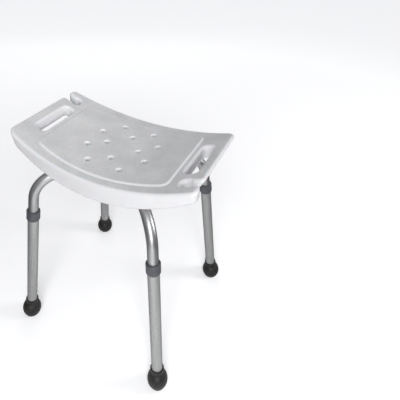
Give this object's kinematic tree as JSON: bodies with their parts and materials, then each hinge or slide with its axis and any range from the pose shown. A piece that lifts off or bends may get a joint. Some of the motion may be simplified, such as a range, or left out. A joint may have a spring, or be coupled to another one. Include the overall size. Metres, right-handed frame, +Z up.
{
  "type": "shower stool",
  "caption": "Shower stool with a saddle-curved moulded seat, hand slots, handset notches and drain holes, on splayed telescopic tube legs with snap-button height setting and rubber feet.",
  "frame": {"origin": "on the floor, below the middle of the seat", "axes": "+X along the seat from hand slot to hand slot, +Y to the back, +Z up"},
  "size_m": [0.4864, 0.4544, 0.6075],
  "materials": {
    "seat_plastic": "satin, fine grain",
    "frame_aluminium": "satin anodised",
    "leg_aluminium": "satin anodised",
    "collar_plastic": "moulded",
    "foot_rubber": "moulded rubber",
    "saddle_plastic": "moulded",
    "screw_steel": "stainless",
    "spring_steel": "spring steel",
    "button_steel": "plated",
    "brass_insert": "knurled"
  },
  "bodies": {
    "frame": {"seat": "seat_plastic", "seat_inserts": "brass_insert", "seat_screws": "screw_steel", "cross_tube_upper": "frame_aluminium", "cross_tube_lower": "frame_aluminium", "cross_spacer": "saddle_plastic", "cross_bolt": "screw_steel", "cross_nut": "screw_steel", "cross_washers": "screw_steel", "saddle_front_left": "saddle_plastic", "button_spring_front_left": "spring_steel", "saddle_front_right": "saddle_plastic", "button_spring_front_right": "spring_steel", "saddle_back_right": "saddle_plastic", "button_spring_back_right": "spring_steel", "saddle_back_left": "saddle_plastic", "button_spring_back_left": "spring_steel"},
    "leg_front_left": {"leg_tube_front_left": "leg_aluminium", "leg_collar_front_left": "collar_plastic", "foot_front_left": "foot_rubber", "foot_washer_front_left": "screw_steel"},
    "button_front_left": {"snap_button_front_left": "button_steel"},
    "leg_front_right": {"leg_tube_front_right": "leg_aluminium", "leg_collar_front_right": "collar_plastic", "foot_front_right": "foot_rubber", "foot_washer_front_right": "screw_steel"},
    "button_front_right": {"snap_button_front_right": "button_steel"},
    "leg_back_right": {"leg_tube_back_right": "leg_aluminium", "leg_collar_back_right": "collar_plastic", "foot_back_right": "foot_rubber", "foot_washer_back_right": "screw_steel"},
    "button_back_right": {"snap_button_back_right": "button_steel"},
    "leg_back_left": {"leg_tube_back_left": "leg_aluminium", "leg_collar_back_left": "collar_plastic", "foot_back_left": "foot_rubber", "foot_washer_back_left": "screw_steel"},
    "button_back_left": {"snap_button_back_left": "button_steel"}
  },
  "joints": [
    {"name": "front_left_height", "type": "slide", "parent": "frame", "child": "leg_front_left", "axis": [-0.1148, -0.1063, -0.9877], "range_m": [0, 0.12]},
    {"name": "front_left_button", "type": "slide", "parent": "frame", "child": "button_front_left", "axis": [-0.7247, -0.6711, 0.1564], "range_m": [0, 0.0054], "stiffness_N_per_m": 1500, "springref_m": -0.003, "deforming": ["button_spring_front_left"]},
    {"name": "front_right_height", "type": "slide", "parent": "frame", "child": "leg_front_right", "axis": [0.1148, -0.1063, -0.9877], "range_m": [0, 0.12]},
    {"name": "front_right_button", "type": "slide", "parent": "frame", "child": "button_front_right", "axis": [0.7247, -0.6711, 0.1564], "range_m": [0, 0.0054], "stiffness_N_per_m": 1500, "springref_m": -0.003, "deforming": ["button_spring_front_right"]},
    {"name": "back_right_height", "type": "slide", "parent": "frame", "child": "leg_back_right", "axis": [0.1148, 0.1063, -0.9877], "range_m": [0, 0.12]},
    {"name": "back_right_button", "type": "slide", "parent": "frame", "child": "button_back_right", "axis": [0.7247, 0.6711, 0.1564], "range_m": [0, 0.0054], "stiffness_N_per_m": 1500, "springref_m": -0.003, "deforming": ["button_spring_back_right"]},
    {"name": "back_left_height", "type": "slide", "parent": "frame", "child": "leg_back_left", "axis": [-0.1148, 0.1063, -0.9877], "range_m": [0, 0.12]},
    {"name": "back_left_button", "type": "slide", "parent": "frame", "child": "button_back_left", "axis": [-0.7247, 0.6711, 0.1564], "range_m": [0, 0.0054], "stiffness_N_per_m": 1500, "springref_m": -0.003, "deforming": ["button_spring_back_left"]}
  ]
}
